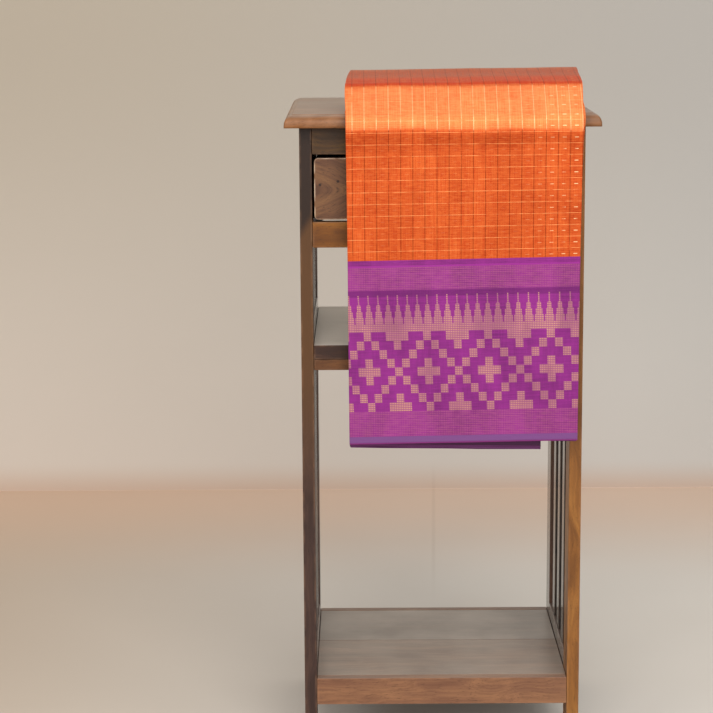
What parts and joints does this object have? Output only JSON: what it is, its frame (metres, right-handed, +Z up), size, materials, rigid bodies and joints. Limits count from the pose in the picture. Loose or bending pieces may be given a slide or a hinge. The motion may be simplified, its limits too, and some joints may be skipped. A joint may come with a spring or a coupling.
{
  "type": "folded saree on a wooden drawer stand",
  "caption": "Silk saree with a woven border, folded flat and hung over the front edge of a small slat-sided wooden stand with a drawer and two shelves.",
  "frame": {"origin": "on the floor, under the middle of the object's outline in plan", "axes": "+X to the object's right seen from the front, +Y to the back, +Z up; the cloth hangs at the front, -Y"},
  "size_m": [0.3904, 0.3664, 0.8819],
  "materials": {
    "frame_wood": "dark brown stained hardwood, satin varnish",
    "shelf_wood": "brown hardwood boards, satin varnish with a soft sheen",
    "orange_silk": "orange silk cotton with a fine dark and gold check, soft silk sheen",
    "purple_silk": "purple silk border with rose-gold woven temples and stepped diamonds"
  },
  "bodies": {
    "root": {"back_panel": "frame_wood", "drawer_back": "frame_wood", "drawer_bottom": "frame_wood", "drawer_front": "frame_wood", "drawer_knob": "frame_wood", "drawer_side_left": "frame_wood", "drawer_side_right": "frame_wood", "leg_back_left": "frame_wood", "leg_back_right": "frame_wood", "leg_front_left": "frame_wood", "leg_front_right": "frame_wood", "low_rail_back": "frame_wood", "low_rail_front": "frame_wood", "low_shelf_front": "shelf_wood", "low_shelf_rear": "shelf_wood", "low_side_rail_left": "frame_wood", "low_side_rail_right": "frame_wood", "mid_rail_back": "frame_wood", "mid_rail_front": "frame_wood", "mid_shelf": "shelf_wood", "mid_side_rail_left": "frame_wood", "mid_side_rail_right": "frame_wood", "rail_over_drawer": "frame_wood", "rail_under_drawer": "frame_wood", "runner_left": "frame_wood", "runner_right": "frame_wood", "saree_border_front": "purple_silk", "saree_border_rear": "purple_silk", "saree_hang_front": "orange_silk", "saree_hang_rear": "orange_silk", "saree_layers_border": "purple_silk", "saree_layers_hang": "orange_silk", "saree_layers_low": "purple_silk", "saree_layers_slope": "orange_silk", "saree_layers_top": "orange_silk", "saree_slope": "orange_silk", "saree_top": "orange_silk", "saree_underside": "orange_silk", "side_panel_left": "frame_wood", "side_panel_right": "frame_wood", "slat_lower_left_1": "frame_wood", "slat_lower_left_2": "frame_wood", "slat_lower_left_3": "frame_wood", "slat_lower_right_1": "frame_wood", "slat_lower_right_2": "frame_wood", "slat_lower_right_3": "frame_wood", "slat_upper_left_1": "frame_wood", "slat_upper_left_2": "frame_wood", "slat_upper_left_3": "frame_wood", "slat_upper_right_1": "frame_wood", "slat_upper_right_2": "frame_wood", "slat_upper_right_3": "frame_wood", "table_top": "shelf_wood"}
  },
  "joints": []
}
